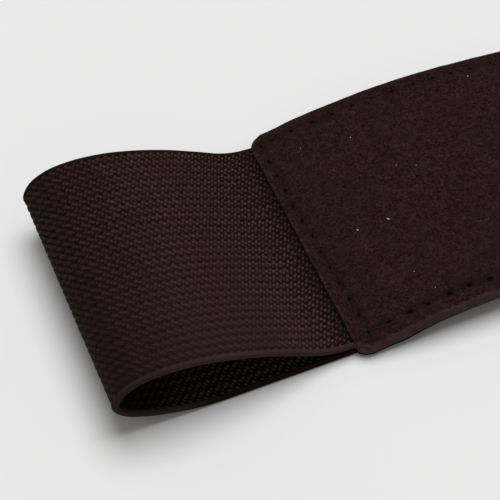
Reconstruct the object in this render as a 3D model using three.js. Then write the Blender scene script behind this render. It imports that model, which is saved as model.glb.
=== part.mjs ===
import * as THREE from 'three';

// A wide pull-on stretch belt that lies flattened on a table: a band of woven elastic whose two ends are
// sewn into a suede front panel, so that the two make one closed loop. The panel lies on top and the band
// passes beneath it, and at each end the band turns over in an open, drop-shaped fold. +X runs along the
// belt, +Y away across it, +Z up, and the origin is on the table below the belt's middle. All sizes are in
// millimetres.

const { clamp, lerp, smoothstep } = THREE.MathUtils;

const bandWidth = 60;
const bandThickness = 1.6;
const bandEdgeChamfer = 0.35;
const foldLength = 55.5; // from the belt's tip to the panel's end
const foldHeight = 20.2;

const panelLength = 262;
const panelCornerRadius = 4;
const panelEdgeRadius = 1.2;
const rimWidth = 1.85; // of the panel's turned rims, beside the band
const rimSag = 1.1; // of the near rim, beside the seated band
const leatherAtEnds = 0.7; // over the band, where the panel is pared down
const leatherInField = 1.8;
const paredLength = 14;
const seatLength = 20; // of band that is sewn in at each end of the panel
const seatEndSlope = 0.5; // length over which the leather closes down behind the band's end

const liningThickness = 0.5;

const archHeight = 4.1; // the panel's wave above its resting line
const archLength = 100; // from the panel's end to where the panel rests again
const archLean = 0.74; // below 1 the crest stands nearer to the panel's end
const bandFollow = 0.8; // how much of the wave the band beneath the panel takes up

const fitGap = 0.15; // between sewn pieces
const layerGap = 0.15; // between the panel and the band that passes beneath it

const tipX = -panelLength / 2 - foldLength;
const panelEndX = -panelLength / 2;
const innerHalfWidth = bandWidth / 2 + fitGap;
const panelHalfWidth = innerHalfWidth + rimWidth;
const seatHeight = bandThickness + fitGap;
const rimBottom = -fitGap - liningThickness;
const restHeight = bandThickness + layerGap - rimBottom; // of the leather's underside

// The outer face of the fold, from the table round the tip to the panel, as shares of the fold's length
// and height.
const foldRows = [
  { along: 0.468, height: 0 },
  { along: 0.448, height: 0 },
  { along: 0.366, height: 0.022 },
  { along: 0.285, height: 0.072 },
  { along: 0.183, height: 0.165 },
  { along: 0.102, height: 0.275 },
  { along: 0.036, height: 0.41 },
  { along: 0, height: 0.6 },
  { along: 0.031, height: 0.82 },
  { along: 0.102, height: 0.955 },
  { along: 0.204, height: 1 },
  { along: 0.346, height: 0.955 },
  { along: 0.478, height: 0.842 },
  { along: 0.621, height: 0.668 },
  { along: 0.758, height: 0.456 },
  { along: 0.865, height: 0.283 },
  { along: 0.937, height: 0.216 },
];

// Height of the panel's wave, and its slope, at a distance from the panel's end.
function archRise(fromEnd) {
  const share = clamp(fromEnd / archLength, 0, 1);
  return archHeight * Math.sin(Math.PI * share ** archLean) ** 2;
}

function archSlope(fromEnd) {
  const step = 0.01;
  return (archRise(fromEnd + step) - archRise(fromEnd - step)) / (2 * step);
}

// A station is a point of a path in the XZ plane, with the direction in which its section stands up.
function station(x, z, slope) {
  const length = Math.hypot(1, slope);
  return { x, z, upX: -slope / length, upZ: 1 / length };
}

function mirrored({ x, upX, ...rest }) {
  return { ...rest, x: -x, upX: -upX };
}

// How far the rounded corner cuts into the panel's half width.
function cornerCut(fromEnd) {
  const inCorner = clamp(panelCornerRadius - fromEnd, 0, panelCornerRadius);
  return panelCornerRadius - Math.sqrt(panelCornerRadius ** 2 - inCorner ** 2);
}

// The rims start where the rounded corner leaves them thinRim wide beside the band.
const thinRim = 0.35;
const rimStartCut = panelCornerRadius - rimWidth + thinRim;
const rimStart = panelCornerRadius - Math.sqrt(panelCornerRadius ** 2 - rimStartCut ** 2);
const rimLeadIn = 0.12;

// Stations on the underside of the panel's leather, from its left end to its middle.
const cornerSteps = 4;
const archSteps = 22;

function panelStation(fromEnd) {
  const hasRim = fromEnd > rimStart + rimLeadIn / 2;
  const onSeat = fromEnd < seatLength + fitGap + seatEndSlope / 2;
  const halfWidth = panelHalfWidth - cornerCut(fromEnd);
  const top = seatHeight + lerp(leatherAtEnds, leatherInField, smoothstep(fromEnd, 0, paredLength));
  const ceiling = onSeat ? seatHeight : 0;
  const shallow = ceiling - fitGap / 3;
  const sag = rimSag * (1 - smoothstep(fromEnd, seatLength / 2, seatLength));
  return {
    ...station(panelEndX + fromEnd, restHeight + archRise(fromEnd), archSlope(fromEnd)),
    fromEnd,
    halfWidth,
    innerHalf: Math.min(innerHalfWidth, halfWidth - thinRim),
    ceiling,
    top,
    nearBottom: hasRim ? rimBottom - sag : shallow,
    farBottom: hasRim ? rimBottom : shallow,
    sag: hasRim ? sag : 0,
  };
}

function panelDistances() {
  const distances = [rimStart, rimStart + rimLeadIn, seatLength + fitGap, seatLength + fitGap + seatEndSlope];
  for (let i = 0; i < cornerSteps; i++) {
    const angle = (i / cornerSteps) * (Math.PI / 2);
    distances.push(panelCornerRadius * (1 - Math.cos(angle)));
  }
  for (let i = 0; i <= archSteps; i++) distances.push(lerp(panelCornerRadius, archLength, i / archSteps));
  return distances.sort((a, b) => a - b);
}

const leftOfPanel = panelDistances().map(panelStation);
const panelStations = [...leftOfPanel, ...leftOfPanel.map(mirrored).reverse()];

// Joins one section per station into a closed solid. A section is a list of [across, up] pairs, anticlockwise
// as seen from the end of the path.
function loft(stations, sectionOf) {
  const sections = stations.map(sectionOf);
  const count = sections[0].length;
  const positions = [];
  stations.forEach(({ x, z, upX, upZ }, i) => {
    for (const [across, up] of sections[i]) positions.push(x + up * upX, across, z + up * upZ);
  });
  const faces = [];
  for (let i = 0; i + 1 < stations.length; i++) {
    for (let j = 0; j < count; j++) {
      const a = i * count + j;
      const b = i * count + ((j + 1) % count);
      faces.push(a, b, b + count, a, b + count, a + count);
    }
  }
  const last = (stations.length - 1) * count;
  const outline = sections[0].map(([across, up]) => new THREE.Vector2(across, up));
  for (const [a, b, c] of THREE.ShapeUtils.triangulateShape(outline, [])) {
    faces.push(a, c, b, last + a, last + b, last + c);
  }
  const geometry = new THREE.BufferGeometry();
  geometry.setAttribute('position', new THREE.Float32BufferAttribute(positions, 3));
  geometry.setIndex(faces);
  return geometry;
}

// The band: its outer face runs from below the panel's middle round the left fold and into the panel.
const foldSteps = 52;

function lowerBandStations() {
  const stations = leftOfPanel.map(({ x, fromEnd }) => {
    const { upX, upZ } = station(x, 0, bandFollow * archSlope(fromEnd));
    return { x, z: bandFollow * archRise(fromEnd), upX: -upX, upZ: -upZ };
  });
  return stations.reverse();
}

function seatedBandStations() {
  const distances = panelDistances().filter((fromEnd) => fromEnd < seatLength);
  return [...distances, seatLength].map(panelStation).map(({ x, z, upX, upZ }) => ({
    x: x + bandThickness * upX,
    z: z + bandThickness * upZ,
    upX,
    upZ,
  }));
}

function foldStations(enter) {
  const points = foldRows.map(
    ({ along, height }) => new THREE.Vector3(tipX + along * foldLength, 0, height * foldHeight),
  );
  points.push(new THREE.Vector3(enter.x, 0, enter.z));
  const curve = new THREE.CatmullRomCurve3(points, false, 'centripetal');
  const stations = [];
  for (let i = 1; i < foldSteps; i++) {
    const point = curve.getPointAt(i / foldSteps);
    const along = curve.getTangentAt(i / foldSteps);
    stations.push({ x: point.x, z: Math.max(0, point.z), upX: -along.z, upZ: along.x });
  }
  return stations;
}

function bandSection() {
  const half = bandWidth / 2;
  const edge = bandEdgeChamfer;
  return [
    [edge - half, -bandThickness],
    [half - edge, -bandThickness],
    [half, edge - bandThickness],
    [half, -edge],
    [half - edge, 0],
    [edge - half, 0],
    [-half, -edge],
    [-half, edge - bandThickness],
  ];
}

const seated = seatedBandStations();
const leftOfBand = [...lowerBandStations(), ...foldStations(seated[0]), ...seated];
const bandStations = [...leftOfBand.map(mirrored).reverse(), ...leftOfBand];

const elasticBand = new THREE.Mesh(
  loft(bandStations, bandSection),
  new THREE.MeshStandardMaterial({ color: 0x2b1f1d, roughness: 0.8, metalness: 0 }),
);
elasticBand.name = 'elastic_band';

// The panel: leather with rounded top edges and turned rims. Between the rims it is hollow from below for the
// lining, and deeper at each end for the band that it holds. The near rim sags beside the band.
const edgeSteps = 3;

function panelSection({ halfWidth, innerHalf, ceiling, top, nearBottom, farBottom, sag }) {
  const section = [
    [-halfWidth, nearBottom],
    [-innerHalf, nearBottom],
    [-innerHalf, ceiling],
    [innerHalf, ceiling],
    [innerHalf, farBottom],
    [halfWidth, farBottom],
  ];
  for (const side of [1, -1]) {
    const wall = top - (side > 0 ? farBottom : nearBottom);
    const drop = Math.min(panelEdgeRadius + (side > 0 ? 0 : sag), 0.9 * wall);
    for (let i = 0; i <= edgeSteps; i++) {
      const angle = ((side > 0 ? i : edgeSteps - i) / edgeSteps) * (Math.PI / 2);
      section.push([
        side * (halfWidth - panelEdgeRadius * (1 - Math.cos(angle))),
        top - drop * (1 - Math.sin(angle)),
      ]);
    }
  }
  return section;
}

const frontPanel = new THREE.Mesh(
  loft(panelStations, panelSection),
  new THREE.MeshStandardMaterial({ color: 0x2b1b1a, roughness: 0.95, metalness: 0 }),
);
frontPanel.name = 'front_panel';

// The lining: a thin sheet between the rims, below the leather and the ends of the band.
function liningSection({ halfWidth }) {
  const half = Math.min(bandWidth / 2, halfWidth - thinRim);
  return [
    [-half, rimBottom],
    [half, rimBottom],
    [half, -fitGap],
    [-half, -fitGap],
  ];
}

const panelLining = new THREE.Mesh(
  loft(panelStations, liningSection),
  new THREE.MeshStandardMaterial({ color: 0x15100f, roughness: 0.85, metalness: 0 }),
);
panelLining.name = 'panel_lining';

const group = new THREE.Group();
group.add(elasticBand, frontPanel, panelLining);

export default group;
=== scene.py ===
"""Looks of an elastic stretch belt that lies flattened: a suede panel sewn to a loop of woven elastic."""

import math

import bmesh
import bpy
import numpy as np
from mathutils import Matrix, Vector


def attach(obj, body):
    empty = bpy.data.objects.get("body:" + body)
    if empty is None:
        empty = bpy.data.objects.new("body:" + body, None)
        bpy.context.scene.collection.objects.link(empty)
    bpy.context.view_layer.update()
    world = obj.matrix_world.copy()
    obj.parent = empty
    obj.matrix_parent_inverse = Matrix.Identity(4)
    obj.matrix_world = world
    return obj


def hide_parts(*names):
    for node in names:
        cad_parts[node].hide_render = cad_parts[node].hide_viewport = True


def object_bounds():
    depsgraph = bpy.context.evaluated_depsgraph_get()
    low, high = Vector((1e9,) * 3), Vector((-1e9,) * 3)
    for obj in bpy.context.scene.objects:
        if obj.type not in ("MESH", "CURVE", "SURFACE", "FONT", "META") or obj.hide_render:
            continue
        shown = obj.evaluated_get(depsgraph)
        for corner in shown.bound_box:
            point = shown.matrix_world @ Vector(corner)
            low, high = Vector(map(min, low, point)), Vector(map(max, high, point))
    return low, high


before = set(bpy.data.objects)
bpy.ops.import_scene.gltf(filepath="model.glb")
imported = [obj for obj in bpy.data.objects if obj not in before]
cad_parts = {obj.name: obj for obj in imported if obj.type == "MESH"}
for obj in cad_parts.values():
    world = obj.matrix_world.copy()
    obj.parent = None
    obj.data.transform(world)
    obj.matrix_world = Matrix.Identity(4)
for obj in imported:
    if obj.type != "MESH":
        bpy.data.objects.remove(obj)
cad_low, cad_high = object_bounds()
scene = bpy.context.scene
MM = 0.001

# Camera: above the near left end of the belt, looking down along it at the photograph's angle.
aim = Vector((-141.2, 5.0, 0)) * MM
azimuth, elevation, distance = math.radians(-22.5), math.radians(54.5), 395 * MM
back = Vector(
    (
        math.sin(azimuth) * math.cos(elevation),
        -math.cos(azimuth) * math.cos(elevation),
        math.sin(elevation),
    )
)
camera_data = bpy.data.cameras.new("camera")
camera_data.sensor_width = 36
camera_data.lens = 123.84
camera_data.clip_start, camera_data.clip_end = 0.01, 20
camera = bpy.data.objects.new("camera", camera_data)
camera.location = aim + back * distance
camera.rotation_mode = "QUATERNION"
camera.rotation_quaternion = back.to_track_quat("Z", "Y")
scene.collection.objects.link(camera)
scene.camera = camera

# Elastic band: a broad strip of rubber-cored elastic, woven in a steep twill with a plain selvage along both
# edges. Its ends are sewn into the panel, and between them it goes round both folds and beneath the panel.
panel_end, tip = -131.0, -186.5
seat_length, arch_length = 20.0, 100.0
band_half, band_thickness = 30.0, 1.6
rest_height = 2.4  # of the leather's underside
wave_height, wave_skew = 4.1, 0.74
lower_wave = 0.8  # of the panel's wave, which the layer beneath follows
line_step = 0.5  # between points of the band's course
way_reach = 0.9  # on either side of a place, over which the band's way on is taken


def wave(from_end):
    """Height of the panel's wave, at a distance from the panel's end."""
    share = np.clip(from_end / arch_length, 0, 1)
    return wave_height * np.sin(np.pi * share**wave_skew) ** 2


def panel_line(from_end):
    """Points on the underside of the leather, and the direction that its section stands up in."""
    slope = (wave(from_end + 0.01) - wave(from_end - 0.01)) / 0.02
    up = np.stack([-slope, np.ones_like(slope)], -1) / np.hypot(1, slope)[:, None]
    return np.stack([panel_end + from_end, rest_height + wave(from_end)], -1), up


def smooth_through(points, steps):
    """A line through all the points, as a centripetal Catmull-Rom curve."""
    points = np.array(
        [2 * points[0] - points[1], *points, 2 * points[-1] - points[-2]]
    )
    line = []
    for p0, p1, p2, p3 in zip(points, points[1:], points[2:], points[3:]):
        d0, d1, d2 = (
            math.sqrt(np.linalg.norm(b - a)) for a, b in ((p0, p1), (p1, p2), (p2, p3))
        )
        leave = ((p1 - p0) / d0 - (p2 - p0) / (d0 + d1)) * d1 + p2 - p1
        arrive = p2 - p1 + ((p3 - p2) / d2 - (p3 - p1) / (d1 + d2)) * d1
        t = np.linspace(0, 1, steps, endpoint=False)[:, None]
        line.append(
            (2 * t**3 - 3 * t**2 + 1) * p1
            + (t**3 - 2 * t**2 + t) * leave
            + (3 * t**2 - 2 * t**3) * p2
            + (t**3 - t**2) * arrive
        )
    return np.concatenate(line)


fold_along = (0.468, 0.448, 0.366, 0.285, 0.183, 0.102, 0.036, 0, 0.031, 0.102)
fold_along += (0.204, 0.346, 0.478, 0.621, 0.758, 0.865, 0.937)
fold_height = (0, 0, 0.022, 0.072, 0.165, 0.275, 0.41, 0.6, 0.82, 0.955)
fold_height += (1, 0.955, 0.842, 0.668, 0.456, 0.283, 0.216)
seat_points, seat_up = panel_line(np.arange(0, seat_length + 0.1, line_step))
seat_points = seat_points + band_thickness * seat_up
fold_points = np.stack(
    [
        tip + np.array(fold_along) * (panel_end - tip),
        np.array(fold_height) * cad_high.z / MM,
    ],
    -1,
)
fold = smooth_through([*fold_points, seat_points[0]], 24)
beneath_along = np.arange(0, panel_end, -line_step)
beneath = np.stack([beneath_along, lower_wave * wave(beneath_along - panel_end)], -1)
left_half = np.concatenate([beneath, fold, seat_points])[::-1]
left_half[:, 1] = np.maximum(left_half[:, 1], 0)
whole = np.concatenate([left_half, (left_half * (-1, 1))[-2::-1]])
whole_at = np.concatenate([[0], np.cumsum(np.hypot(*np.diff(whole, axis=0).T))])
band_length = whole_at[-1]


def band_line(at):
    """Points on the band's outer face at lengths from its left end, with the way on and the way out."""

    def point(s):
        return np.stack([np.interp(s, whole_at, whole[:, i]) for i in (0, 1)], -1)

    on = point(np.minimum(at + way_reach, band_length)) - point(np.maximum(at - way_reach, 0))
    on /= np.linalg.norm(on, axis=-1, keepdims=True)
    return point(at), on, np.stack([on[..., 1], -on[..., 0]], -1)


def shell(name, places, uv):
    """A closed mesh through a grid of places in millimetres, a closed section to each row, its ends shut."""
    rows, columns = places.shape[:2]
    mesh = bpy.data.meshes.new(name)
    faces = [
        (
            r * columns + c,
            r * columns + (c + 1) % columns,
            (r + 1) * columns + (c + 1) % columns,
            (r + 1) * columns + c,
        )
        for r in range(rows - 1)
        for c in range(columns)
    ]
    faces += [
        tuple(range(columns)),
        tuple((rows - 1) * columns + c for c in reversed(range(columns))),
    ]
    mesh.from_pydata((places.reshape(-1, 3) * MM).tolist(), [], faces)
    layer = mesh.uv_layers.new(name="surface")
    loops = np.zeros(len(mesh.loops), int)
    mesh.loops.foreach_get("vertex_index", loops)
    layer.data.foreach_set("uv", (uv.reshape(-1, 2)[loops] * MM).ravel())
    cleaner = bmesh.new()
    cleaner.from_mesh(mesh)
    bmesh.ops.recalc_face_normals(cleaner, faces=cleaner.faces)
    cleaner.to_mesh(mesh)
    cleaner.free()
    mesh.shade_smooth()
    piece = bpy.data.objects.new(name, mesh)
    scene.collection.objects.link(piece)
    return piece


def swept(sections, points, ups):
    """Places of sections given as across and height, which stand on a line's points along its ways up."""
    grid = np.zeros((*sections.shape[:2], 3))
    grid[..., 0] = points[:, :1] + sections[..., 1] * ups[:, :1]
    grid[..., 1] = sections[..., 0]
    grid[..., 2] = points[:, 1:] + sections[..., 1] * ups[:, 1:]
    return grid


repeat_along, repeat_across = 1.9, 2.05  # one repeat of the weave, of three floats
woven_half = 28.9  # of the woven field, inside the selvages
sink = 0.26  # of the ground between the floats
station_count = 640
across_half = np.array([0, 5, 10, 15, 20, 24, 27, woven_half, 28.98, 29.3, 29.62, 29.84, 29.96])
up_half = np.array([-sink] * 8 + [-0.06, -0.02, -0.06, -0.2, -0.42])
face_across = np.concatenate([-across_half[:0:-1], across_half])
face_up = np.concatenate([up_half[:0:-1], up_half])
half_way = [-band_thickness / 2]
section_across = np.concatenate([face_across, [band_half], face_across[::-1], [-band_half]])
section_up = np.concatenate([face_up, half_way, -band_thickness - face_up[::-1], half_way])
section = np.stack([section_across, section_up], -1)
stations = np.linspace(0, band_length, station_count)
places, _, out = band_line(stations)
grid = swept(np.tile(section, (station_count, 1, 1)), places, out)
surface = np.stack(np.meshgrid(stations, section_across, indexing="ij"), -1)
band = shell("elastic_strip", grid, surface)

# The floats of one repeat, as seen on either face, in millimetres. They lean against the twill. The bridge is
# how far beyond its length a float's dip into the ground still shows.
floats = (
    {"along": 0.0, "across": 0.0, "length": 1.3, "width": 0.72, "rise": 0.29, "bridge": 1.7},
    {"along": -0.62, "across": -0.62, "length": 0.96, "width": 0.70, "rise": 0.27, "bridge": 1.0},
    {"along": -1.27, "across": -1.24, "length": 1.04, "width": 0.69, "rise": 0.26, "bridge": 1.0},
)
lean = math.radians(119)  # of a float, from the way on towards the far edge


def new_group(name, kind, inputs, output):
    """A shader node group with inputs of that kind and one output, with the group's inner ends."""
    group = bpy.data.node_groups.new(name, "ShaderNodeTree")
    for label in inputs:
        group.interface.new_socket(label, in_out="INPUT", socket_type=kind)
    group.interface.new_socket(output, in_out="OUTPUT", socket_type=kind)
    return group, group.nodes.new("NodeGroupInput"), group.nodes.new("NodeGroupOutput")


def grouped(tree, group, **values):
    """The output of a group placed in the tree, with its inputs set to those values or outputs."""
    node = tree.nodes.new("ShaderNodeGroup")
    node.node_tree = group
    for label, value in values.items():
        if isinstance(value, (int, float)):
            node.inputs[label].default_value = value
        else:
            tree.links.new(value, node.inputs[label])
    return node.outputs[0]


def calculate(tree, operation, *values):
    """A math node on those values, each a number or an output."""
    node = tree.nodes.new("ShaderNodeMath")
    node.operation = operation
    for socket, value in zip(node.inputs, values):
        if isinstance(value, (int, float)):
            socket.default_value = value
        else:
            tree.links.new(value, socket)
    return node.outputs[0]


weave, weave_in, weave_out = new_group("twill_weave", "NodeSocketFloat", ("Along", "Across"), "Height")
heights = []
for row in floats:
    offsets = []
    for way, repeat in (("Along", repeat_along), ("Across", repeat_across)):
        millimetres = calculate(weave, "MULTIPLY", weave_in.outputs[way], 1000)
        moved = calculate(weave, "SUBTRACT", millimetres, row[way.lower()])
        offsets.append(calculate(weave, "WRAP", moved, repeat / 2, -repeat / 2))
    squares = []
    # the domes run together across the floats' short way, where a twill line's yarns lie side by side
    for turn, size in (
        (lean, row["bridge"] * row["length"]),
        (lean + math.pi / 2, 1.6 * row["width"]),
    ):
        parts = [
            calculate(weave, "MULTIPLY", offset, factor * 2 / size)
            for offset, factor in zip(offsets, (math.cos(turn), math.sin(turn)))
        ]
        total = calculate(weave, "ADD", *parts)
        squares.append(calculate(weave, "MULTIPLY", total, total))
    away = calculate(weave, "ADD", *squares)
    dome = calculate(weave, "EXPONENT", calculate(weave, "MULTIPLY", away, -0.9))
    heights.append(calculate(weave, "MULTIPLY", dome, row["rise"] / floats[0]["rise"]))
highest = calculate(weave, "MAXIMUM", calculate(weave, "MAXIMUM", *heights[:2]), heights[2])
weave.links.new(highest, weave_out.inputs["Height"])


def new_material(name, roughness):
    """A material with its Principled shader, and the node tree that they are in."""
    material = bpy.data.materials.new(name)
    material.use_nodes = True
    shader = material.node_tree.nodes["Principled BSDF"]
    shader.inputs["Roughness"].default_value = roughness
    return material, shader, material.node_tree


def mixed(tree, factor, first, second):
    """A colour between two, each a colour or an output."""
    node = tree.nodes.new("ShaderNodeMix")
    node.data_type = "RGBA"
    tree.links.new(factor, node.inputs["Factor"])
    for index, value in ((6, first), (7, second)):
        if isinstance(value, tuple):
            node.inputs[index].default_value = (*value, 1)
        else:
            tree.links.new(value, node.inputs[index])
    return node.outputs[2]


def spread(tree, value, low, high):
    """A value spread from 0 at the low limit to 1 at the high one."""
    node = tree.nodes.new("ShaderNodeMapRange")
    tree.links.new(value, node.inputs["Value"])
    node.inputs["From Min"].default_value = low
    node.inputs["From Max"].default_value = high
    return node.outputs["Result"]


cloudy, cloudy_in, cloudy_out = new_group(
    "clouds", "NodeSocketFloat", ("Size", "Detail", "Low", "High"), "Share"
)
cloudy_places = cloudy.nodes.new("ShaderNodeTexCoord")
noise = cloudy.nodes.new("ShaderNodeTexNoise")
cloudy_range = cloudy.nodes.new("ShaderNodeMapRange")
for start, end in (
    (cloudy_places.outputs["Object"], noise.inputs["Vector"]),
    (calculate(cloudy, "DIVIDE", 1000, cloudy_in.outputs["Size"]), noise.inputs["Scale"]),
    (cloudy_in.outputs["Detail"], noise.inputs["Detail"]),
    (noise.outputs["Fac"], cloudy_range.inputs["Value"]),
    (cloudy_in.outputs["Low"], cloudy_range.inputs["From Min"]),
    (cloudy_in.outputs["High"], cloudy_range.inputs["From Max"]),
    (cloudy_range.outputs["Result"], cloudy_out.inputs["Share"]),
):
    cloudy.links.new(start, end)


def clouds(tree, size, detail=2.0, low=0.35, high=0.65):
    """Cloudy unevenness of that size in millimetres on object coordinates, from 0 to 1."""
    return grouped(tree, cloudy, Size=size, Detail=detail, Low=low, High=high)


def coordinate(tree, axis):
    """One of the object coordinates: X along the belt, Y across it towards the far edge, Z up."""
    places = tree.nodes.new("ShaderNodeTexCoord")
    parts = tree.nodes.new("ShaderNodeSeparateXYZ")
    tree.links.new(places.outputs["Object"], parts.inputs["Vector"])
    return parts.outputs[axis]


def along_belt(tree, low, high):
    """From 0 at the low distance from the belt's middle to 1 at the high one, in millimetres, either way."""
    return spread(tree, calculate(tree, "ABSOLUTE", coordinate(tree, "X")), low * MM, high * MM)


def lowered(tree, value, amount, where):
    """A value, less that amount of it where the mask is 1."""
    kept = calculate(tree, "ADD", calculate(tree, "MULTIPLY", where, -amount), 1)
    return calculate(tree, "MULTIPLY", kept, value)


# How far the upper layer's weave is pressed smooth: towards its near edge and away from the panel.
pressing, _, pressing_out = new_group("pressed_near", "NodeSocketFloat", (), "Pressed")
near_edge = spread(pressing, coordinate(pressing, "Y"), 8 * MM, -24 * MM)
upper_layer = spread(pressing, coordinate(pressing, "Z"), 3 * MM, 6 * MM)
past_panel = calculate(pressing, "MULTIPLY", near_edge, along_belt(pressing, 128, 148))
pressed_share = calculate(pressing, "MULTIPLY", past_panel, upper_layer)
pressing.links.new(pressed_share, pressing_out.inputs["Pressed"])

# A colour of the elastic with painted shade: darker in the shallow grooves between its lengthwise ribs and
# where the folds turn over, with a painted shadow along the panel's ends.
painted_shading, painted_shading_in, painted_shading_out = new_group("painted_shade", "NodeSocketColor", ("Bare",), "Shaded")
# colours of the painted shade, and of the painted shadow beside the panel's ends
shade_tone, panel_end_shadow = (0.006, 0.003, 0.0028), (0.006, 0.0042, 0.0030)
rib_turn = 2 * math.pi / (repeat_across * MM)
rib_place = calculate(painted_shading, "MULTIPLY", coordinate(painted_shading, "Y"), rib_turn)
ridge = calculate(painted_shading, "COSINE", calculate(painted_shading, "ADD", rib_place, math.radians(99)))
shaded_colour = painted_shading_in.outputs["Bare"]
# painted shade in the rib grooves and at the folds' turns, and a painted shadow beside the panel's ends
for mask, amount, dull_colour in (
    (calculate(painted_shading, "SUBTRACT", 1, ridge), 0.26, shade_tone),
    (along_belt(painted_shading, 159, 182), 0.56, shade_tone),
    (along_belt(painted_shading, 134.6, 131.4), 0.6, panel_end_shadow),
):
    shaded_colour = mixed(painted_shading, calculate(painted_shading, "MULTIPLY", mask, amount), shaded_colour, dull_colour)
painted_shading.links.new(shaded_colour, painted_shading_out.inputs["Shaded"])

elastic, elastic_shader, elastic_tree = new_material("woven_elastic", 0.78)
surface_uv = elastic_tree.nodes.new("ShaderNodeUVMap")
surface_uv.uv_map = "surface"
split = elastic_tree.nodes.new("ShaderNodeSeparateXYZ")
elastic_tree.links.new(surface_uv.outputs["UV"], split.inputs["Vector"])
woven = grouped(elastic_tree, weave, Along=split.outputs["X"], Across=split.outputs["Y"])
from_middle = calculate(elastic_tree, "ABSOLUTE", split.outputs["Y"])
in_field = calculate(elastic_tree, "LESS_THAN", from_middle, woven_half * MM)
pattern = calculate(elastic_tree, "MULTIPLY", woven, in_field)
selvage = calculate(elastic_tree, "SUBTRACT", 1, in_field)
thread = calculate(elastic_tree, "MAXIMUM", pattern, selvage)
yarn = mixed(
    elastic_tree, clouds(elastic_tree, 9), (0.032, 0.0155, 0.0146), (0.036, 0.0180, 0.0170)
)
# painted shade: more of the dark ground shows between the floats near the panel's ends
shaded_by_panel = lowered(elastic_tree, pattern, 0.6, along_belt(elastic_tree, 150, 133))
shown = calculate(elastic_tree, "MAXIMUM", shaded_by_panel, selvage)
pressed = grouped(elastic_tree, pressing)
ground = mixed(elastic_tree, pressed, (0.0045, 0.0009, 0.0008), (0.0245, 0.0119, 0.0110))
inside_fold = spread(elastic_tree, coordinate(elastic_tree, "Z"), 3.2 * MM, 2.2 * MM)
ground = mixed(elastic_tree, inside_fold, ground, (0.0210, 0.0138, 0.0105))
colour = grouped(elastic_tree, painted_shading, Bare=mixed(elastic_tree, shown, ground, yarn))
# The selvage's yarn: darker along the far edge, with painted shade where the fold turns over and low down by
# the floor.
low_down = spread(elastic_tree, coordinate(elastic_tree, "Z"), 2.6 * MM, 1.2 * MM)
at_far = spread(elastic_tree, coordinate(elastic_tree, "Y"), -5 * MM, 5 * MM)
edge_yarn = mixed(elastic_tree, at_far, (0.0340, 0.0198, 0.0190), (0.015, 0.0068, 0.0060))
at_turn = calculate(elastic_tree, "MULTIPLY", along_belt(elastic_tree, 163, 184), 0.45)
edge_yarn = mixed(elastic_tree, at_turn, edge_yarn, (0.012, 0.0064, 0.0060))
edge_yarn = mixed(elastic_tree, low_down, edge_yarn, (0.009, 0.0040, 0.0026))
colour = mixed(elastic_tree, selvage, colour, edge_yarn)
elastic_tree.links.new(colour, elastic_shader.inputs["Base Color"])
elastic_shader.inputs["Specular IOR Level"].default_value = 0.02
relief = elastic_tree.nodes.new("ShaderNodeBump")
relief.inputs["Distance"].default_value = 0.0002
relief.inputs["Strength"].default_value = 0.9
elastic_tree.links.new(lowered(elastic_tree, thread, 0.7, pressed), relief.inputs["Height"])
elastic_tree.links.new(relief.outputs["Normal"], elastic_shader.inputs["Normal"])
band.data.materials.append(elastic)

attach(band, "root")
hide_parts("elastic_band")


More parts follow.
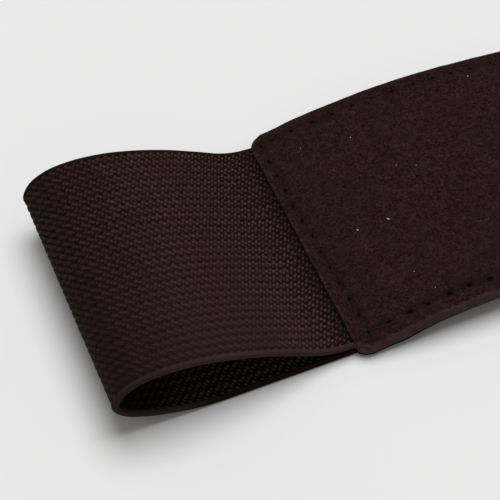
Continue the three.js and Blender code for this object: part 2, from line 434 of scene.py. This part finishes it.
# Floats of the weave: short lengths of yarn that stand up from the elastic's ground, as real shapes on both
# folds, outside and inside, where they are seen. Each is a slim barrel of yarn, half sunk in the strip.
def shape_maker(name, segments, rings):
    """A Geometry Nodes group that lays a slim barrel at each point, turned and sized by its values."""
    maker = bpy.data.node_groups.new(name, "GeometryNodeTree")
    for label, kind in (
        ("Geometry", "NodeSocketGeometry"),
        ("Unevenness", "NodeSocketFloat"),
        ("Seed", "NodeSocketInt"),
        ("Material", "NodeSocketMaterial"),
    ):
        maker.interface.new_socket(label, in_out="INPUT", socket_type=kind)
    maker.interface.new_socket("Geometry", in_out="OUTPUT", socket_type="NodeSocketGeometry")
    nodes, links = maker.nodes, maker.links
    given = nodes.new("NodeGroupInput")
    barrel = nodes.new("GeometryNodeMeshUVSphere")
    barrel.inputs["Segments"].default_value = segments
    barrel.inputs["Rings"].default_value = rings
    barrel.inputs["Radius"].default_value = 0.5
    lay_down = nodes.new("GeometryNodeTransform")
    lay_down.inputs["Rotation"].default_value = (0, math.pi / 2, 0)
    links.new(barrel.outputs["Mesh"], lay_down.inputs["Geometry"])
    smooth = nodes.new("GeometryNodeSetShadeSmooth")
    links.new(lay_down.outputs["Geometry"], smooth.inputs["Geometry"])
    own_turn = nodes.new("GeometryNodeInputNamedAttribute")
    own_turn.data_type = "FLOAT_VECTOR"
    own_turn.inputs["Name"].default_value = "turn"
    as_rotation = nodes.new("FunctionNodeEulerToRotation")
    links.new(own_turn.outputs["Attribute"], as_rotation.inputs["Euler"])
    own_size = nodes.new("GeometryNodeInputNamedAttribute")
    own_size.data_type = "FLOAT_VECTOR"
    own_size.inputs["Name"].default_value = "size"
    least = nodes.new("ShaderNodeMath")
    least.operation = "SUBTRACT"
    least.inputs[0].default_value = 1
    links.new(given.outputs["Unevenness"], least.inputs[1])
    most = nodes.new("ShaderNodeMath")
    most.operation = "ADD"
    most.inputs[0].default_value = 1
    links.new(given.outputs["Unevenness"], most.inputs[1])
    vary = nodes.new("FunctionNodeRandomValue")
    vary.data_type = "FLOAT"
    links.new(least.outputs[0], vary.inputs[2])
    links.new(most.outputs[0], vary.inputs[3])
    links.new(given.outputs["Seed"], vary.inputs["Seed"])
    varied = nodes.new("ShaderNodeVectorMath")
    varied.operation = "SCALE"
    links.new(own_size.outputs["Attribute"], varied.inputs[0])
    links.new(vary.outputs[1], varied.inputs["Scale"])
    place = nodes.new("GeometryNodeInstanceOnPoints")
    links.new(given.outputs["Geometry"], place.inputs["Points"])
    links.new(smooth.outputs["Geometry"], place.inputs["Instance"])
    links.new(as_rotation.outputs["Rotation"], place.inputs["Rotation"])
    links.new(varied.outputs["Vector"], place.inputs["Scale"])
    tone = nodes.new("FunctionNodeRandomValue")
    tone.data_type = "FLOAT"
    links.new(given.outputs["Seed"], tone.inputs["Seed"])
    keep_tone = nodes.new("GeometryNodeStoreNamedAttribute")
    keep_tone.domain = "INSTANCE"
    keep_tone.inputs["Name"].default_value = "tone"
    links.new(place.outputs["Instances"], keep_tone.inputs["Geometry"])
    links.new(tone.outputs[1], keep_tone.inputs["Value"])
    realize = nodes.new("GeometryNodeRealizeInstances")
    links.new(keep_tone.outputs["Geometry"], realize.inputs["Geometry"])
    paint = nodes.new("GeometryNodeSetMaterial")
    links.new(realize.outputs["Geometry"], paint.inputs["Geometry"])
    links.new(given.outputs["Material"], paint.inputs["Material"])
    made = nodes.new("NodeGroupOutput")
    links.new(paint.outputs["Geometry"], made.inputs["Geometry"])
    return maker


def repeated(name, maker, places, turns, sizes, settings):
    """A piece with the maker's shape at each place in millimetres, realized as one plain mesh."""
    mesh = bpy.data.meshes.new(name)
    mesh.from_pydata((places * MM).tolist(), [], [])
    for label, values in (("turn", turns), ("size", sizes * MM)):
        attribute = mesh.attributes.new(label, "FLOAT_VECTOR", "POINT")
        attribute.data.foreach_set("vector", values.ravel())
    piece = bpy.data.objects.new(name, mesh)
    scene.collection.objects.link(piece)
    modifier = piece.modifiers.new("maker", "NODES")
    modifier.node_group = maker
    sockets = {
        item.name: item.identifier
        for item in maker.interface.items_tree
        if item.in_out == "INPUT"
    }
    for label, value in settings.items():
        modifier[sockets[label]] = value
    evaluated = piece.evaluated_get(bpy.context.evaluated_depsgraph_get())
    piece.data = bpy.data.meshes.new_from_object(evaluated)
    piece.data.name = name
    piece.modifiers.clear()
    return piece


def turned(first, second):
    """Euler angles that lay X along the first direction and Y along the second."""
    third = np.cross(first, second)
    pitch = np.arcsin(np.clip(-first[:, 2], -1, 1))
    yaw = np.arctan2(first[:, 1], first[:, 0])
    roll = np.arctan2(second[:, 2], third[:, 2])
    return np.stack([roll, pitch, yaw], -1)


def yarn_of(name, dull, bright, even):
    """The floats' material: each has its own tone, from dull to bright, evened out in clouds and where the
    upper layer is pressed smooth, with a painted sheen beside the panel and the elastic's painted shade."""
    material, shader, tree = new_material(name, 0.55)
    shade = tree.nodes.new("ShaderNodeAttribute")
    shade.attribute_name = "tone"
    colour = mixed(tree, clouds(tree, 9), mixed(tree, shade.outputs["Fac"], dull, bright), even)
    colour = mixed(tree, grouped(tree, pressing), colour, (0.0360, 0.0170, 0.0159))
    # painted sheen: the floats are lighter beside the panel's ends
    sheen_by_panel = calculate(tree, "MULTIPLY", along_belt(tree, 151, 136), 0.46)
    colour = mixed(tree, sheen_by_panel, colour, (0.098, 0.0560, 0.0540))
    tree.links.new(grouped(tree, painted_shading, Bare=colour), shader.inputs["Base Color"])
    shader.inputs["Specular IOR Level"].default_value = 0.03
    return material


outer_tones = {
    "dull": (0.0450, 0.0208, 0.0194),
    "bright": (0.0700, 0.0350, 0.0333),
    "even": (0.0530, 0.0250, 0.0234),
}
inner_tones = {
    "dull": (0.068, 0.0465, 0.0352),
    "bright": (0.108, 0.0780, 0.0605),
    "even": (0.085, 0.0595, 0.0456),
}
yarns = {
    "outer": yarn_of("elastic_yarn", **outer_tones),
    "inner": yarn_of("inner_yarn", **inner_tones),
}
fold_run = 118  # the band's length round a fold that carries floats
stray = 0.03  # of a float from its place in the weave
stray_turn = math.radians(6)
random = np.random.default_rng(7)
float_makers = {
    "outer": shape_maker("outer_floats", 8, 3),
    "inner": shape_maker("inner_floats", 6, 3),
}
for side, start in (
    ("left", seat_length - 1),
    ("right", band_length - seat_length - fold_run + 1),
):
    for face in ("outer", "inner"):
        count = int(fold_run / repeat_along)
        first = math.ceil(start / repeat_along)
        alongs, acrosses, kinds = np.meshgrid(
            first + np.arange(count), np.arange(-15, 16), np.arange(3), indexing="ij"
        )
        table = {key: np.array([row[key] for row in floats]) for key in floats[0]}
        kinds = kinds.ravel()
        at = alongs.ravel() * repeat_along + table["along"][kinds]
        across = acrosses.ravel() * repeat_across + table["across"][kinds]
        inside = np.abs(across) < woven_half - 0.15
        kinds, at, across = kinds[inside], at[inside], across[inside]
        at = at + random.normal(0, stray, len(at))
        across = across + random.normal(0, stray, len(at))
        middle, on, outward = band_line(at)
        level = -sink if face == "outer" else sink - band_thickness
        centre = middle + outward * level
        ways = lean + random.normal(0, stray_turn, len(at))
        cosine, sine = np.cos(ways), np.sin(ways)
        lengthwise = np.stack([on[:, 0] * cosine, sine, on[:, 1] * cosine], -1)
        sideways = np.stack([-on[:, 0] * sine, cosine, -on[:, 1] * sine], -1)
        # the floats stand apart beside the panel, and away from it they close up along the twill lines
        from_panel = np.minimum(at, band_length - at) - seat_length
        apart = np.clip(1.2 - from_panel / 26, 0, 1) + 0.3 * np.clip((across + 24) / 34, 0, 1)
        close = 1 - np.clip(apart, 0, 1)
        # they are pressed flat towards the near edge, and a little where the fold turns over
        flat = np.clip((6 - across) / 28, 0, 1) * np.clip(from_panel / 18, 0, 1)
        flat = np.maximum(flat, 0.5 * np.clip((from_panel - 38) / 14, 0, 1))
        if face == "inner":
            close, flat = 0.3, 0
        lengths = table["length"][kinds] * (0.98 + 0.02 * close + 0.13 * flat)
        widths = table["width"][kinds] * (0.92 + 0.72 * close + flat * (0.3 - 0.25 * close))
        rises = 2 * table["rise"][kinds] * (1.1 - 0.38 * close - 0.42 * flat)
        sizes = np.stack([lengths, widths, rises], -1)
        piece = repeated(
            f"elastic_floats_{side}_{face}",
            float_makers[face],
            np.stack([centre[:, 0], across, centre[:, 1]], -1),
            turned(lengthwise, sideways),
            sizes,
            {"Unevenness": 0.11, "Seed": 3, "Material": yarns[face]},
        )
        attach(piece, "root")

# Front panel: suede with its edges turned down and closed beneath, pared thin at both ends where it covers
# the elastic's ends. One line of stitches is drawn down into it all round. Its near rim sags beside the
# elastic, and its turned edges show the leather's smoother, paler side.
panel_half, panel_length, corner_radius = 32.0, 262.0, 4.0
rim_bottom, rim_sag = -0.65, 1.1
seat_height = band_thickness + 0.15
end_leather, field_leather, pared_length = 1.05, 1.8, 14
first_hole, hole_pitch, end_holes = 28.3, 4.76, 13  # across the panel's ends


def eased(value, low, high):
    """From 0 below the low limit to 1 above the high one, smoothly."""
    share = np.clip((value - low) / (high - low), 0, 1)
    return share * share * (3 - 2 * share)


def leather_at(from_end):
    """Thickness of the leather over the band, which is pared down towards the panel's ends."""
    return end_leather + (field_leather - end_leather) * eased(from_end, 0, pared_length)


def wandering(at, pace, seed):
    """A smooth random line at lengths in millimetres, mostly between -1 and 1, that turns at that pace."""
    knots = np.arange(-2, panel_length / pace + 3)
    values = np.random.default_rng(seed).normal(0, 0.6, len(knots))
    share = at / pace
    low = np.floor(share)
    mix = eased(share - low, 0, 1)
    return np.interp(low, knots, values) * (1 - mix) + np.interp(low + 1, knots, values) * mix


def end_seam(across):
    """How far an end's seam lies in from the panel's end: a little further towards the near side."""
    return 2.5 + (first_hole - across) / 36 * eased(-across, -30, 30)


# Stitch holes: thirteen across each end, the corners among them, and a line of them along each side.
hole_rows = []
for mirrored in (False, True):
    hole_across = first_hole - hole_pitch * np.arange(end_holes)
    hole_from = end_seam(hole_across)
    hole_from = panel_length - hole_from if mirrored else hole_from
    hole_rows.append(np.stack([hole_from, hole_across, np.ones(end_holes)], -1))
for line_across, first_from, count in ((-28.5, 9.4, 52), (28.6, 5.6, 50)):
    hole_from = np.linspace(first_from, panel_length - first_from, count)
    hole_rows.append(np.stack([hole_from, np.full(count, line_across), np.zeros(count)], -1))
holes = np.concatenate(hole_rows)
holes[:, 0] += random.normal(0, 0.14, len(holes))
holes[:, 1] += random.normal(0, 0.09, len(holes))
along_end = holes[:, 2] > 0.5
# how plainly each hole shows: most on the near side, least on the far one
strengths = np.where(along_end, 0.8, np.where(holes[:, 1] > 0, 0.68, 1.08))
strengths = strengths * random.uniform(0.8, 1.15, len(holes))

end_steps = np.array([0, 0.08, 0.2, 0.35, 0.55, 0.8, 1.1, 1.4, 1.65, 1.85, 2.05, 2.25])
from_ends = np.concatenate([end_steps, np.arange(2.45, 4.7, 0.2), np.linspace(4.9, panel_length / 2, 288)])
all_from = np.concatenate([from_ends, from_ends[-2::-1]])
from_left = np.concatenate([from_ends, panel_length - from_ends[-2::-1]])
left_points, left_up = panel_line(from_ends)
mirror = np.array([-1, 1])
line_points = np.concatenate([left_points, (left_points * mirror)[-2::-1]])
line_up = np.concatenate([left_up, (left_up * mirror)[-2::-1]])
in_corner = np.clip(corner_radius - all_from, 0, corner_radius)
half_at = panel_half - corner_radius + np.sqrt(corner_radius**2 - in_corner**2)
ripple = 0.09 * wandering(from_left, 6.3, 1) + 0.05 * wandering(from_left, 2.1, 2)
half_at = half_at + ripple * eased(all_from, 2, 6)
field = first_hole - hole_pitch / 8 * np.arange(91, 3, -1)
border = np.array([0.06, 0.14, 0.22, 0.28, 0.34, 0.38, 0.41, 0.44, 0.475, 0.52, 0.58])
border = np.concatenate([border, [0.66, 0.75, 0.83, 0.89, 0.94, 0.975, 0.994, 1]])
far = 26 + (half_at[:, None] - 26) * border
top_across = np.concatenate([-far[:, ::-1], np.tile(field, (len(far), 1)), far], 1)
from_side = half_at[:, None] - np.abs(top_across)
to_corner = np.hypot(
    np.maximum(corner_radius - all_from[:, None], 0),
    np.maximum(corner_radius - from_side, 0),
)
inward = np.minimum(all_from[:, None], from_side)
inward = np.where(to_corner > 0, np.maximum(corner_radius - to_corner, 0), inward)
leather = leather_at(all_from)
sag = rim_sag * (1 - eased(all_from, 10, 20))
top = np.repeat((seat_height + leather)[:, None], top_across.shape[1], 1)
edge_drop = np.where(top_across < 0, 1.2 + sag[:, None], 1.2)
edge_drop = np.minimum(edge_drop, 0.9 * (top - rim_bottom))
edge_share = np.clip(inward / 1.3, 0, 1)
at_end = all_from[:, None] < np.minimum(from_side, 1.3)
edge_drop = np.where(at_end, 0.5, edge_drop)
top = top - edge_drop * (1 - np.sqrt(1 - (1 - edge_share) ** 2))

# The leather sinks along the seam, and is drawn down further at each hole.
seam_from = end_seam(top_across)
to_side_line = np.abs(np.abs(top_across) - 28.6) + 9 * eased(seam_from - all_from[:, None], 0, 1)
to_end_line = np.abs(all_from[:, None] - seam_from) + 9 * eased(np.abs(top_across), 28.8, 29.8)
to_seam = np.minimum(to_side_line, to_end_line)
dimple, hole_mask, deep_mask = np.zeros((3, *top.shape))
for (hole_from, hole_across, is_end), strength in zip(holes, strengths):
    along_hole = from_left[:, None] - hole_from
    across_hole = top_across - hole_across
    long_way, short_way = (across_hole, along_hole) if is_end else (along_hole, across_hole)
    reach = np.hypot(long_way / 0.88, short_way / 0.58) / strength
    dimple = np.maximum(dimple, strength * np.exp(-(reach**2)))
    deep_mask = np.maximum(deep_mask, strength * (1 - eased(reach, 0.45, 1.0)))
    smudge = np.hypot((long_way - random.uniform(-0.9, 0.3)) / 2.1, (short_way - 0.2) / 1.4)
    hole_mask = np.maximum(hole_mask, strength * np.exp(-(smudge**2)))
top = top - 0.1 * np.exp(-((to_seam / 0.7) ** 2)) - 0.34 * dimple
top = top + 0.035 * wandering(from_left, 9.1, 3)[:, None] * eased(inward, 1, 4)

bottom_far = np.full(len(all_from), rim_bottom)
bottom_near = rim_bottom - sag
rim_inner = np.minimum(30.15, half_at - 0.35)
into_nose = np.clip(all_from / 0.8, 0, 1)
nose = 0.45 * (1 - np.sqrt(into_nose * (2 - into_nose)))
ceiling = np.where(all_from < 20.4, seat_height + nose, 0.0)
has_rim = all_from > 0.69
bottom_far = np.where(has_rim, bottom_far, ceiling - 0.05)
bottom_near = np.where(has_rim, bottom_near, ceiling - 0.05)
tucked = np.minimum(0.1, half_at - rim_inner - 0.05)  # how far the rim's foot is turned in
columns = [np.stack([tucked - half_at, bottom_near], -1)]
for depth in (0.26, 0.33, 0.5, 0.8):
    height = bottom_near + depth * (top[:, 0] - bottom_near)
    columns.append(np.stack([-half_at + tucked * max(0, 1 - depth / 0.3) ** 2, height], -1))
for index in range(top_across.shape[1]):
    columns.append(np.stack([top_across[:, index], top[:, index]], -1))
for depth in (0.75, 0.5, 0.25):
    height = bottom_far + depth * (top[:, -1] - bottom_far)
    columns.append(np.stack([half_at, height], -1))
columns += [
    np.stack([half_at, bottom_far], -1),
    np.stack([rim_inner, bottom_far], -1),
    np.stack([rim_inner, ceiling], -1),
    np.stack([-rim_inner, ceiling], -1),
    np.stack([-rim_inner, bottom_near], -1),
]
sections = np.stack(columns, 1)
grid = swept(sections, line_points, line_up)
panel = shell("suede_panel", grid, grid[..., :2])

# How much of the smooth turned edge shows, how near a hole is, and where the rim's foot is dark.
on_top = slice(5, 5 + top_across.shape[1])
edge_mask = np.ones(sections.shape[:2])
side_mask = 1 - eased(inward, 0.1, 0.7)
end_mask = 0.45 * (1 - eased(all_from[:, None], 0.3, 1.0))
edge_mask[:, on_top] = np.where(at_end, end_mask, side_mask)
beside_top = ((0, 0), (on_top.start, sections.shape[1] - on_top.stop))
hole_mask = np.pad(hole_mask, beside_top)
deep_mask = np.pad(deep_mask, beside_top)
foot_mask = np.zeros(sections.shape[:2])
foot_mask[:, :2] = (1 - 0.7 * eased(all_from, 13, 24))[:, None]
for label, values in (
    ("turned_edge", edge_mask),
    ("near_hole", hole_mask),
    ("in_hole", deep_mask),
    ("rim_foot", foot_mask),
):
    attribute = panel.data.attributes.new(label, "FLOAT", "POINT")
    attribute.data.foreach_set("value", values.ravel())

suede, suede_shader, suede_tree = new_material("suede", 0.95)
shares = {}
for label in ("turned_edge", "near_hole", "in_hole", "rim_foot"):
    reader = suede_tree.nodes.new("ShaderNodeAttribute")
    reader.attribute_name = label
    shares[label] = reader.outputs["Fac"]
fine = clouds(suede_tree, 0.6, 3)
dark_nap = mixed(suede_tree, fine, (0.010, 0.0032, 0.0028), (0.028, 0.0130, 0.0120))
pale_nap = mixed(suede_tree, fine, (0.0155, 0.0060, 0.0054), (0.039, 0.0195, 0.0183))
nap = mixed(suede_tree, clouds(suede_tree, 1.7, 3), dark_nap, pale_nap)
worn = calculate(suede_tree, "MULTIPLY", clouds(suede_tree, 8, 2), 0.3)
nap = mixed(suede_tree, worn, nap, (0.021, 0.0105, 0.0082))
haze = calculate(suede_tree, "MULTIPLY", shares["near_hole"], 0.9)
nap = mixed(suede_tree, haze, nap, (0.0085, 0.0070, 0.0056))
nap = mixed(suede_tree, shares["in_hole"], nap, (0.0050, 0.0013, 0.0009))
edge_tones = (0.043, 0.0245, 0.0240), (0.064, 0.0400, 0.0400)
edge_colour = mixed(suede_tree, clouds(suede_tree, 1.5, 3), *edge_tones)
uneven = calculate(suede_tree, "SUBTRACT", clouds(suede_tree, 0.8, 3), 0.5)
uneven = calculate(suede_tree, "MULTIPLY", uneven, 0.6)
edge_border = calculate(suede_tree, "ADD", uneven, shares["turned_edge"])
suede_colour = mixed(suede_tree, spread(suede_tree, edge_border, 0.2, 0.95), nap, edge_colour)
suede_colour = mixed(suede_tree, shares["rim_foot"], suede_colour, (0.0042, 0.0026, 0.0017))
suede_tree.links.new(suede_colour, suede_shader.inputs["Base Color"])
suede_shader.inputs["Specular IOR Level"].default_value = 0.02
nap_relief = suede_tree.nodes.new("ShaderNodeBump")
nap_relief.inputs["Distance"].default_value = 0.0003
nap_relief.inputs["Strength"].default_value = 0.9
suede_tree.links.new(clouds(suede_tree, 0.5, 5, 0.2, 0.8), nap_relief.inputs["Height"])
suede_tree.links.new(nap_relief.outputs["Normal"], suede_shader.inputs["Normal"])
panel.data.materials.append(suede)
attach(panel, "root")
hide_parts("front_panel")


def on_panel(from_left_end, across, sunk):
    """Places on the panel's top, sunk by that much, with the ways along and out of the panel there."""
    folded = np.minimum(from_left_end, panel_length - from_left_end)
    points, up = panel_line(folded)
    right = (from_left_end > panel_length / 2)[:, None]
    points = np.where(right, points * mirror, points)
    up = np.where(right, up * mirror, up)
    height = seat_height + leather_at(folded) - sunk
    points = points + up * height[:, None]
    forward = np.stack([up[:, 1], np.zeros(len(up)), -up[:, 0]], -1)
    outward = np.stack([up[:, 0], np.zeros(len(up)), up[:, 1]], -1)
    return np.stack([points[:, 0], across, points[:, 1]], -1), forward, outward


# Stitches: short runs of dark sewing thread, one seam all round the panel. They show in the holes, each
# drawn down into its dimple in the leather.
thread_points, forward, outward = on_panel(holes[:, 0], holes[:, 1], 0.36 * strengths)
thread_ways = np.where(along_end[:, None], np.array([0.0, 1.0, 0.0]), forward)
thread_material, thread_shader, thread_tree = new_material("stitch_thread", 0.8)
thread_shader.inputs["Base Color"].default_value = (0.0050, 0.0013, 0.0009, 1)
thread_shader.inputs["Specular IOR Level"].default_value = 0.0
stitches = repeated(
    "stitches",
    float_makers["outer"],
    thread_points,
    turned(thread_ways, np.cross(outward, thread_ways)),
    np.array((1.3, 0.72, 0.34)) * strengths[:, None],
    {"Unevenness": 0.2, "Seed": 5, "Material": thread_material},
)
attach(stitches, "root")

# Nap: short fibres that stand up from the suede and lie brushed over its face, as real shapes. They are a
# part of the leather, and its stitch holes, corners and turned edges are bare of them.
nap_count = 24000
nap_from = random.uniform(1.0, panel_length - 1.0, nap_count)
nap_across = random.uniform(-30.9, 30.9, nap_count)
to_holes = np.hypot(nap_from[:, None] - holes[:, 0], nap_across[:, None] - holes[:, 1])
into_corner = np.hypot(
    np.maximum(corner_radius - np.minimum(nap_from, panel_length - nap_from), 0),
    np.maximum(np.abs(nap_across) - panel_half + corner_radius, 0),
)
clear = (to_holes.min(1) > 1.3) & (into_corner < corner_radius - 1)
nap_from, nap_across, nap_count = nap_from[clear], nap_across[clear], int(clear.sum())
nap_points, forward, outward = on_panel(nap_from, nap_across, np.full(nap_count, 0.01))
nap_turn = random.normal(0.5, 0.9, nap_count)[:, None]
sideways = np.cross(outward, forward)
nap_ways = forward * np.cos(nap_turn) + sideways * np.sin(nap_turn)
nap_material, nap_shader, nap_tree = new_material("suede_nap", 0.95)
nap_tone = nap_tree.nodes.new("ShaderNodeAttribute")
nap_tone.attribute_name = "tone"
nap_colour = mixed(nap_tree, nap_tone.outputs["Fac"], (0.010, 0.0034, 0.0030), (0.047, 0.0240, 0.0225))
nap_tree.links.new(nap_colour, nap_shader.inputs["Base Color"])
nap_shader.inputs["Specular IOR Level"].default_value = 0.02
fibres = repeated(
    "suede_fibres",
    shape_maker("brushed_fibres", 3, 2),
    nap_points,
    turned(nap_ways, np.cross(outward, nap_ways)),
    np.tile((0.7, 0.2, 0.14), (nap_count, 1)),
    {"Unevenness": 0.4, "Seed": 9, "Material": nap_material},
)
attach(fibres, "root")

# Lint: a few pale specks and fibres of dust that lie on the suede and cling to its nap. Most lie near the
# left end, where the photograph shows the panel.
lint = (
    {"from_end": 20.1, "across": -4.7, "long": 0.95, "wide": 0.36},
    {"from_end": 27.9, "across": 8.0, "long": 0.34, "wide": 0.24},
    {"from_end": 31.9, "across": 6.0, "long": 0.26, "wide": 0.2},
    {"from_end": 21.9, "across": 20.0, "long": 0.3, "wide": 0.22},
    {"from_end": 12.9, "across": -4.2, "long": 0.6, "wide": 0.32},
    {"from_end": 54.9, "across": 26.2, "long": 0.45, "wide": 0.28},
    {"from_end": 19.3, "across": -20.0, "long": 0.3, "wide": 0.2},
    {"from_end": 21.6, "across": -25.8, "long": 0.26, "wide": 0.2},
    {"from_end": 10.5, "across": 22.8, "long": 0.26, "wide": 0.2},
    {"from_end": 121.0, "across": 11.0, "long": 0.6, "wide": 0.25},
    {"from_end": 176.0, "across": -14.0, "long": 0.45, "wide": 0.3},
    {"from_end": 231.0, "across": 3.0, "long": 0.4, "wide": 0.3},
)
lint_from = np.array([row["from_end"] for row in lint])
lint_across = np.array([row["across"] for row in lint])
lint_points, forward, outward = on_panel(lint_from, lint_across, np.full(len(lint), -0.08))
lint_turn = random.uniform(-1.5, 1.5, len(lint))[:, None]
lint_ways = forward * np.cos(lint_turn) + np.cross(outward, forward) * np.sin(lint_turn)
lint_material, lint_shader, _ = new_material("lint", 0.9)
lint_shader.inputs["Base Color"].default_value = (0.42, 0.36, 0.33, 1)
specks = repeated(
    "lint_specks",
    float_makers["outer"],
    lint_points,
    turned(lint_ways, np.cross(outward, lint_ways)),
    np.array([(row["long"], row["wide"], 0.16) for row in lint]),
    {"Unevenness": 0.1, "Seed": 11, "Material": lint_material},
)
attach(specks, "root")

# Panel lining: a thin flat sheet of smooth backing leather. It closes the panel's underside between the
# turned rims, and lies below the elastic's sewn ends.
lining_half = np.minimum(30, half_at - 0.35)
lining_top = -0.15
corners = [
    np.stack([side * lining_half, np.full(len(half_at), height)], -1)
    for side, height in ((-1, rim_bottom), (1, rim_bottom), (1, lining_top), (-1, lining_top))
]
grid = swept(np.stack(corners, 1), line_points, line_up)
lining = shell("lining_sheet", grid, grid[..., :2])
lining_material, lining_shader, lining_tree = new_material("lining", 0.85)
lining_colour = mixed(
    lining_tree, clouds(lining_tree, 3, 4), (0.008, 0.006, 0.006), (0.012, 0.009, 0.009)
)
lining_tree.links.new(lining_colour, lining_shader.inputs["Base Color"])
lining.data.materials.append(lining_material)
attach(lining, "root")
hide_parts("panel_lining")

# Floor: a plain pale surface below the belt.
floor_mesh = bpy.data.meshes.new("floor")
floor_mesh.from_pydata(
    [(-3, -3, 0), (3, -3, 0), (3, 3, 0), (-3, 3, 0)], [], [(0, 1, 2, 3)]
)
floor = bpy.data.objects.new("floor", floor_mesh)
scene.collection.objects.link(floor)
floor.location.z = -0.0001
floor_material, floor_shader, _ = new_material("pale_floor", 0.9)
floor_shader.inputs["Base Color"].default_value = (0.8, 0.8, 0.8, 1)
floor_shader.inputs["Specular IOR Level"].default_value = 0.1
floor_mesh.materials.append(floor_material)

# Light: a large soft lamp behind the belt and to its right, and an even pale surround.
lamp_data = bpy.data.lights.new("soft_lamp", "AREA")
lamp_data.shape = "DISK"
lamp_data.size = 2.3
lamp_data.energy = 75
lamp_data.color = (0.988, 1, 1.006)
lamp = bpy.data.objects.new("soft_lamp", lamp_data)
lamp.location = aim + Vector((0.5, 0.45, 2.9))
lamp.rotation_mode = "QUATERNION"
lamp.rotation_quaternion = (lamp.location - aim).to_track_quat("Z", "Y")
scene.collection.objects.link(lamp)
surround = bpy.data.worlds.new("surround")
surround.use_nodes = True
surround.node_tree.nodes["Background"].inputs["Color"].default_value = (1, 0.965, 0.945, 1)
surround.node_tree.nodes["Background"].inputs["Strength"].default_value = 0.32
scene.world = surround
scene.view_settings.view_transform = "Standard"
